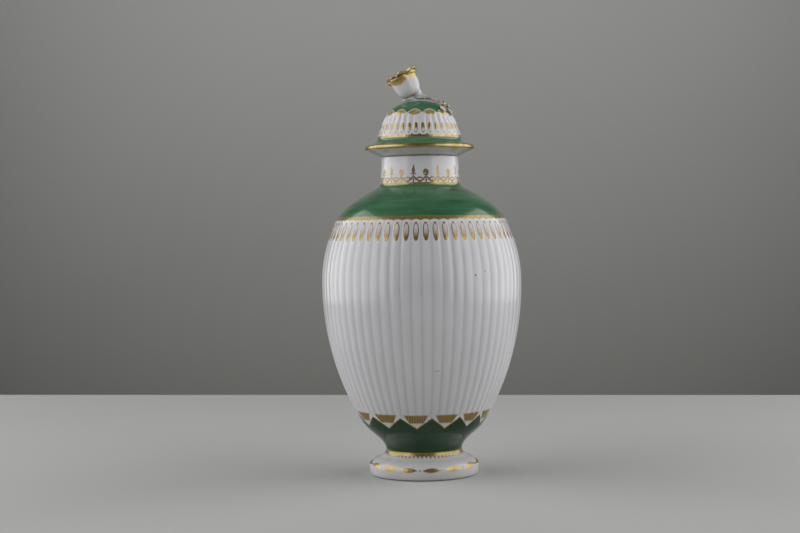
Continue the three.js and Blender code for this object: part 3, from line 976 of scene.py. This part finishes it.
stem_path = through(
    [
        Vector((flower_offset + 1.5, 0, dome_top + 3.7)),
        Vector((flower_offset + 3.0, -0.4, dome_top + 2.1)),
        on_dome(0.3 * sprig_radius, sprig_angle, 0.72 * flower_lift),
        on_dome(0.62 * sprig_radius, sprig_angle, 1.2 * sprig_gap + 1.3 * stem_end_radius),
        on_dome(0.86 * sprig_radius, sprig_angle, 1.2 * sprig_gap + stem_end_radius),
    ],
    48,
)
thins_at = (0, 0.22, 0.42, 0.7, 1)
thins_to = (slip_radius, 1.3 * stem_radius, 0.7 * stem_radius, stem_end_radius, 0.9 * stem_end_radius)
stem_line = bpy.data.curves.new("stem_line", "CURVE")
stem_line.dimensions = "3D"
stem_spline = stem_line.splines.new("POLY")
stem_spline.points.add(len(stem_path) - 1)
for k, place in enumerate(stem_path):
    share = k / (len(stem_path) - 1)
    knots = 1 + 0.07 * math.sin(17 * share) * math.sin(5 * share)
    stem_spline.points[k].co = (*(place * MM), 1)
    stem_spline.points[k].radius = float(np.interp(share, thins_at, thins_to)) * knots
stem_guide = bpy.data.objects.new("stem_line", stem_line)
scene.collection.objects.link(stem_guide)

twig, twig_in, twig_out = new_tree("rolled_twig", Thickness="Float", Sides="Int")
section = new_node(twig, "GeometryNodeCurvePrimitiveCircle", Radius=twig_in.outputs["Thickness"])
put(section.inputs["Resolution"], twig_in.outputs["Sides"])
rolled = new_node(
    twig,
    "GeometryNodeCurveToMesh",
    Curve=twig_in.outputs["Geometry"],
    Profile_Curve=section.outputs["Curve"],
    Scale=twig.nodes.new("GeometryNodeInputRadius").outputs["Radius"],
    Fill_Caps=True,
)
rounded = new_node(twig, "GeometryNodeSetShadeSmooth", Geometry=rolled.outputs["Mesh"])
end_tree(twig, rounded.outputs["Geometry"], twig_in, twig_out)

stem_finish, tree = new_finish("twig_porcelain")
stem_x, _, stem_z = own_axes(tree)
towards_sprig = stem_x.above(4.0 * MM, 3.0 * MM)
# Painted shade: the low side of the stem near the flower, close to the dome, is laid brown.
painted_shade_under_stem = stem_z.below((dome_top + 1.2) * MM, 0.5 * MM)
blush = noise(tree, 260.0, 3.0).between(0.35, 0.8, 0.4)
twig_grain = noise(tree, 900.0, 3.0, 0.6, (0.3, 0.3, 2.0))
paints = [
    (blush * towards_sprig * 0.7, (0.5, 0.36, 0.3)),
    (painted_shade_under_stem * (1.0 - towards_sprig) * 0.8, (0.34, 0.22, 0.12)),
    (twig_grain.above(0.62, 0.2) * towards_sprig * 0.4, (0.3, 0.17, 0.1)),
]
fire(tree, 0.1, paints, noise(tree, 420.0).above(0.6, 0.1) * towards_sprig * 0.7)
stem_mesh = made_by(twig, stem_guide, Thickness=1.0 * MM, Sides=20, Material=stem_finish)
bpy.data.objects.remove(stem_guide)
stem = bpy.data.objects.new("stem", stem_mesh)
scene.collection.objects.link(stem)
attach(stem, "cover")
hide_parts("finial_stem")


# Flower. Four outer and four inner petals are pinched out of porcelain, lapped into a bell and bent over
# at the tips, which are gilded. The whole flower leans to the left on its stem.
flower_radius, flower_height = 5.65, 7.6
cup_foot_radius = 1.9
PETALS = 4
petal_thickness = 0.8
petal_curl = 0.85
petal_turn = -26
petal_lap = 1.2
lobe_start, lobe_closing = 0.8, 0.8
tip_thinning, tip_fold = 0.45, 0.7
edge_roundness = 0.35
ripple_depth = 0.5
petal_rows, petal_columns = 36, 44

cup = drawn(
    (cup_foot_radius, 0),
    (0.9 * flower_radius, 0.08 * flower_height),
    (0.95 * flower_radius, 0.5 * flower_height),
    (flower_radius, flower_height),
    24,
)
lean = Matrix.Translation((flower_offset, 0, dome_top + flower_lift)) @ Matrix.Rotation(-flower_lean, 4, "Y")


def petal(name, turn, layer):
    """A curved blade on the cup, thin at its edges, with a rippled tip that curls outwards."""
    spine = cup[1 + 2 * layer:]
    tip = spine[-1]
    curl = drawn(
        tuple(tip),
        (tip[0] + 0.1 * petal_curl, tip[1] + 0.4 * petal_curl),
        (tip[0] + 0.5 * petal_curl, tip[1] + 0.95 * petal_curl),
        (tip[0] + petal_curl, tip[1] + 0.8 * petal_curl),
        8,
    )
    spine = np.vstack([spine, curl[1:]])
    lengths = np.concatenate([[0], np.cumsum(np.linalg.norm(np.diff(spine, axis=0), axis=1))])
    even = np.linspace(0, lengths[-1], petal_rows)
    spine = np.column_stack([np.interp(even, lengths, spine[:, i]) for i in range(2)])
    inward = layer * (petal_thickness + 1.5 * sprig_gap)
    middle = inside_of(spine, inward + petal_thickness / 2)
    along = np.gradient(spine, axis=0)
    along /= np.linalg.norm(along, axis=1)[:, None]
    widest = math.pi / PETALS * petal_lap
    rings, shares, asides = [], [], []
    for k, (point, way) in enumerate(zip(middle, along)):
        share = k / (petal_rows - 1)
        closing = math.sqrt(1 - lobe_closing * (max(share - lobe_start, 0) / (1 - lobe_start)) ** 2)
        half = widest * closing
        fullness = 1 - tip_thinning * share + tip_fold * share**9
        ring = []
        for i in range(petal_columns):
            around_edge = 2 * math.pi * i / petal_columns
            across = -math.cos(around_edge)
            thick = petal_thickness * 0.5 * abs(math.sin(around_edge)) ** edge_roundness * fullness
            thick *= 1 if around_edge < math.pi else -1
            ripple = ripple_depth * share**4 * (0.5 - across**2 + 0.25 * math.sin(3 * across + turn + layer))
            lapped = 0.05 * across
            push = thick + ripple + lapped
            r = point[0] + push * way[1]
            z = point[1] - push * way[0]
            a = turn + across * half
            ring.append(lean @ Vector((r * math.sin(a), -r * math.cos(a), z)))
            asides.append(abs(across))
        rings.append(ring)
        shares.extend([share] * petal_columns)
    obj = skinned(name, rings)
    mark_points(obj, "along_petal", [*shares, 0.0, 1.0])
    mark_points(obj, "beside_petal", [*asides, 0.0, 0.0])
    return obj


petal_finish, tree = new_finish("petal_porcelain")
along_petal = marked_on(tree, "along_petal")
beside_petal = marked_on(tree, "beside_petal")
ragged = (noise(tree, 700.0, 3.0) - 0.5) * 0.2
tip_gold = (along_petal + ragged - beside_petal * beside_petal * 0.16).above(0.74, 0.08)
veins = noise(tree, 800.0, 2.0, 0.5, (2.0, 2.0, 0.25)).above(0.64, 0.2) * (1.0 - along_petal)
paints = [
    (veins * 0.25, (0.55, 0.47, 0.36)),
    (along_petal.below(0.12, 0.2) * 0.6, (0.42, 0.3, 0.18)),
    (tip_gold * 0.9, (0.56, 0.41, 0.14)),
]
fire(tree, (1.0 - along_petal) * 0.2, paints, tip_gold * 0.7, 0.55)
for k in range(PETALS):
    turn = math.radians(petal_turn + 360 * k / PETALS)
    for layer_name, layer, extra in (("outer", 0, 0), ("inner", 1, math.pi / PETALS)):
        blade = petal(f"{layer_name}_petal_{k + 1}", turn + extra, layer)
        blade.data.materials.append(petal_finish)
        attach(blade, "cover")
        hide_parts(f"petal_{layer_name}_{k + 1}")


# Flower centre. A short core of porcelain stuck inside the cup and set with small seeds, painted a warm
# brown and touched with gold.
centre_radius, centre_height = 1.1, 5.2
seed_size, seed_spacing = 0.16, 0.34
core_outline = outline_of(
    [(0, 0.1 * centre_height), (0.9 * centre_radius, 0.1 * centre_height)],
    straight((centre_radius, 0.14 * centre_height), (centre_radius, 0.4 * centre_height), 4),
    drawn(
        (centre_radius, 0.4 * centre_height),
        (centre_radius, 0.8 * centre_height),
        (0.7 * centre_radius, 0.94 * centre_height),
        (0, 0.94 * centre_height),
        8,
    ),
)
core = turned_piece("flower_core", core_outline, 20)

seeds, seeds_in, seeds_out = new_tree("seeds", Seed_Size="Float", Spacing="Float")
core_skin = seeds_in.outputs["Geometry"]
scatter = seeds.nodes.new("GeometryNodeDistributePointsOnFaces")
scatter.distribute_method = "POISSON"
filled(scatter, Mesh=core_skin, Distance_Min=seeds_in.outputs["Spacing"], Density_Max=6e6, Seed=7)
bead_shape = new_node(seeds, "GeometryNodeMeshIcoSphere", Subdivisions=2)
put(bead_shape.inputs["Radius"], seeds_in.outputs["Seed Size"])
bead_smooth = new_node(seeds, "GeometryNodeSetShadeSmooth", Geometry=bead_shape.outputs["Mesh"])
set_beads = new_node(seeds, "GeometryNodeInstanceOnPoints", Points=scatter.outputs["Points"])
put(set_beads.inputs["Instance"], bead_smooth.outputs["Geometry"])
all_together = new_node(seeds, "GeometryNodeJoinGeometry", Geometry=set_beads.outputs["Instances"])
put(all_together.inputs["Geometry"], core_skin)
end_tree(seeds, all_together.outputs["Geometry"], seeds_in, seeds_out)

core_finish, tree = new_finish("seed_porcelain")
warm_brown = (noise(tree, 500.0).between(0.3, 1.0, 0.3), (0.34, 0.2, 0.08))
fire(tree, 0.0, [warm_brown], noise(tree, 1100.0, 2.0).above(0.5, 0.1))
core.data = made_by(seeds, core, Seed_Size=seed_size * MM, Spacing=seed_spacing * MM, Material=core_finish)
core.data.transform(Matrix.Translation(lean.translation * MM) @ lean.to_3x3().to_4x4())
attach(core, "cover")
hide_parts("flower_centre")


# Leaves. Each is a pinched blade of porcelain, stuck flat on the dome, veined with a tool and touched with
# green and gold: two under the flower, three at the end of the sprig.
leaf_thickness = 0.7
midrib_depth, midrib_width = 0.22, 0.16
side_rise = 0.22
notches, notch_depth = 5, 0.07
leaf_rows, leaf_columns = 30, 16
leaves = (
    ("leaf_under_flower_left", (3.3, 222), (7.0, 207), 3.4, sprig_gap),
    ("leaf_under_flower_front", (2.5, 262), (5.6, 294), 2.6, 3 * sprig_gap),
    ("leaf_sprig_front", (1.1 * sprig_radius, -43), (1.3 * sprig_radius, -40), 2.4, sprig_gap),
    ("leaf_sprig_outer", (1.19 * sprig_radius, -24), (1.37 * sprig_radius, -22), 2.2, sprig_gap),
    ("leaf_slender", (1.11 * sprig_radius, -3), (1.33 * sprig_radius, -1), 1.8, sprig_gap),
)


def leaf(name, start, end, width, lift):
    """A leaf laid on the dome, thin at its notched edges, with a sunk midrib and raised sides."""
    shares = [k / (leaf_rows - 1) for k in range(leaf_rows)]
    places = [(start[0] + s * (end[0] - start[0]), start[1] + s * (end[1] - start[1])) for s in shares]
    middles = [on_dome(r, a, lift + leaf_thickness / 2) for r, a in places]
    rings, marks = [], []
    for k, (r, a) in enumerate(places):
        out = out_of_dome(r, a)
        along = middles[min(k + 1, leaf_rows - 1)] - middles[max(k - 1, 0)]
        side_way = out.cross(along).normalized()
        notch = 1 - notch_depth * abs(math.sin(notches * math.pi * shares[k]))
        half = width / 2 * math.sin(math.pi * (0.03 + 0.94 * shares[k])) ** 0.8 * notch
        ring = []
        for i in range(leaf_columns):
            turn = 2 * math.pi * i / leaf_columns
            across = -math.cos(turn)
            thick = leaf_thickness * 0.5 * abs(math.sin(turn)) ** 0.7 * (1 if turn < math.pi else -1)
            vein = -midrib_depth * math.exp(-((across / midrib_width) ** 2)) if turn < math.pi else 0
            rise = side_rise * across**2 + thick + vein
            ring.append(middles[k] + across * half * side_way + rise * out)
            marks.append(abs(across))
        rings.append(ring[::-1])
    obj = skinned(name, rings)
    mark_points(obj, "across_leaf", [*marks, 0.0, 1.0])
    return obj


leaf_finish, tree = new_finish("leaf_porcelain")
across_leaf = marked_on(tree, "across_leaf")
leaf_patch = noise(tree, 420.0, 3.0)
paints = [
    (leaf_patch.above(0.56, 0.2) * 0.6, (0.3, 0.36, 0.2)),
    (across_leaf.below(0.16, 0.16) * 0.5, (0.36, 0.22, 0.14)),
]
fire(tree, 0.0, paints, (across_leaf + (leaf_patch - 0.5)).above(0.95, 0.15), 0.5)
for node_name, start, end, width, lift in leaves:
    blade = leaf(node_name.replace("leaf_", "painted_leaf_"), start, end, width, lift)
    blade.data.materials.append(leaf_finish)
    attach(blade, "cover")
    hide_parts(node_name)


# Buds. Three small balls of porcelain on the sprig, pressed into five lobes, and gilded except where
# handling has worn them white.
bud_radius = 0.8
bud_lobes, lobe_depth = 5, 0.1
bud_columns, bud_rows = 30, 18
bud_finish, tree = new_finish("bud_gilding")
fire(tree, 0.0, [], noise(tree, 800.0, 3.0).below(0.56, 0.12), 0.6)
for node_name, bud_place in (
    ("bud_upper", (0.94 * sprig_radius, -5)),
    ("bud_front", (1.03 * sprig_radius, -29)),
    ("bud_outer", (1.11 * sprig_radius, -15)),
):
    out = out_of_dome(*bud_place)
    middle = on_dome(*bud_place, sprig_gap + bud_radius)
    first = out.orthogonal().normalized()
    second = out.cross(first)
    rings = []
    for k in range(bud_rows):
        rise = math.pi * (0.03 + 0.94 * k / (bud_rows - 1))
        ring = []
        for i in range(bud_columns):
            turn = 2 * math.pi * i / bud_columns
            lobe = 1 - lobe_depth * abs(math.sin(bud_lobes / 2 * turn)) ** 0.5 * math.sin(rise)
            sideways = math.cos(turn) * first + math.sin(turn) * second
            r = bud_radius * math.sin(rise) * lobe
            ring.append(middle + out * (-bud_radius * math.cos(rise)) + r * sideways)
        rings.append(ring)
    bud = skinned("gilt_" + node_name, rings)
    bud.data.materials.append(bud_finish)
    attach(bud, "cover")
    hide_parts(node_name)


# Table and wall. The canister stands on a pale matt table that ends 0.3 m behind it, with a pale wall
# farther back. A tall soft lamp stands on either side, and the room is dark in front, which gives the
# gilding its brown middle.
table_front, table_back, table_half, table_thickness = -0.62, 0.301, 0.5, 0.03
table_skew = 0.131
wall_behind, wall_thickness, wall_half, wall_low, wall_high = 0.95, 0.02, 0.62, -0.8, 1.8


def flat_panel(name, low, high, skew=0.0):
    """A plain panel of the stage between two opposite corners, in metres, with its far edge set askew."""
    corners = [(a, b, c) for a in (low[0], high[0]) for b in (low[1], high[1]) for c in (low[2], high[2])]
    corners = [(a, b - skew * a * (b == high[1]), c) for a, b, c in corners]
    sides = [(0, 1, 3, 2), (4, 6, 7, 5), (0, 4, 5, 1), (2, 3, 7, 6), (0, 2, 6, 4), (1, 5, 7, 3)]
    mesh = bpy.data.meshes.new(name)
    mesh.from_pydata(corners, [], sides)
    obj = bpy.data.objects.new(name, mesh)
    scene.collection.objects.link(obj)
    return obj


def paint_matt(panel, paint, tone):
    """Ends a plain matt paint and gives it to a panel."""
    filled(paint.node_tree.nodes["Principled BSDF"], Base_Color=tone, Roughness=0.8)
    panel.data.materials.append(paint)


near_corner = (-table_half, table_front, -table_thickness)
table = flat_panel("table", near_corner, (table_half, table_back, 0), table_skew)
table_paint, tree = new_finish("table_paint")
paint_matt(table, table_paint, mixed(tree, noise(tree, 6.0, 2.0), (0.42, 0.425, 0.41), (0.46, 0.465, 0.45)))

far_corner = (wall_half, wall_behind + wall_thickness, wall_high)
wall = flat_panel("wall", (-wall_half, wall_behind, wall_low), far_corner)
wall_paint, tree = new_finish("wall_paint")
# Painted shade: the wall is laid darker towards its foot and paler higher up, with faint patches.
painted_light_up_the_wall = own_axes(tree)[2].above(0.13, 0.55) + (noise(tree, 5.0, 2.0) - 0.5) * 0.15
paint_matt(wall, wall_paint, mixed(tree, painted_light_up_the_wall.clamped(), (0.29, 0.293, 0.27), (0.5, 0.505, 0.485)))

# Seen from above, each soft lamp reaches from 36 to 132 degrees away from the camera.
lamp_distance, lamp_height, lamp_watts = 0.52, 0.8, 6.5
lamp_turn, lamp_spread = math.radians(84), math.radians(48)
lamp_width = 2 * lamp_distance * math.tan(lamp_spread)
for lamp_name, sign in (("left_lamp", -1), ("right_lamp", 1)):
    lamp = bpy.data.lights.new(lamp_name, "AREA")
    lamp.shape = "RECTANGLE"
    lamp.size, lamp.size_y = lamp_width, lamp_height
    lamp.energy = lamp_watts
    lamp_object = bpy.data.objects.new(lamp_name, lamp)
    outwards = Vector((sign * math.sin(lamp_turn), -math.cos(lamp_turn), 0))
    lamp_object.location = lamp_distance * outwards + Vector((0, 0, 0.5 * lamp_height + 0.005))
    lamp_object.rotation_euler = (-outwards).to_track_quat("-Z", "Y").to_euler()
    scene.collection.objects.link(lamp_object)
world = bpy.data.worlds.new("room")
world.use_nodes = True
seen_straight = world.node_tree.nodes.new("ShaderNodeLightPath").outputs["Is Camera Ray"]
room_tone = mixed(world.node_tree, seen_straight, (0.012, 0.012, 0.013), (0.19, 0.192, 0.178))
put(world.node_tree.nodes["Background"].inputs["Color"], room_tone)
scene.world = world
scene.view_settings.view_transform = "Standard"
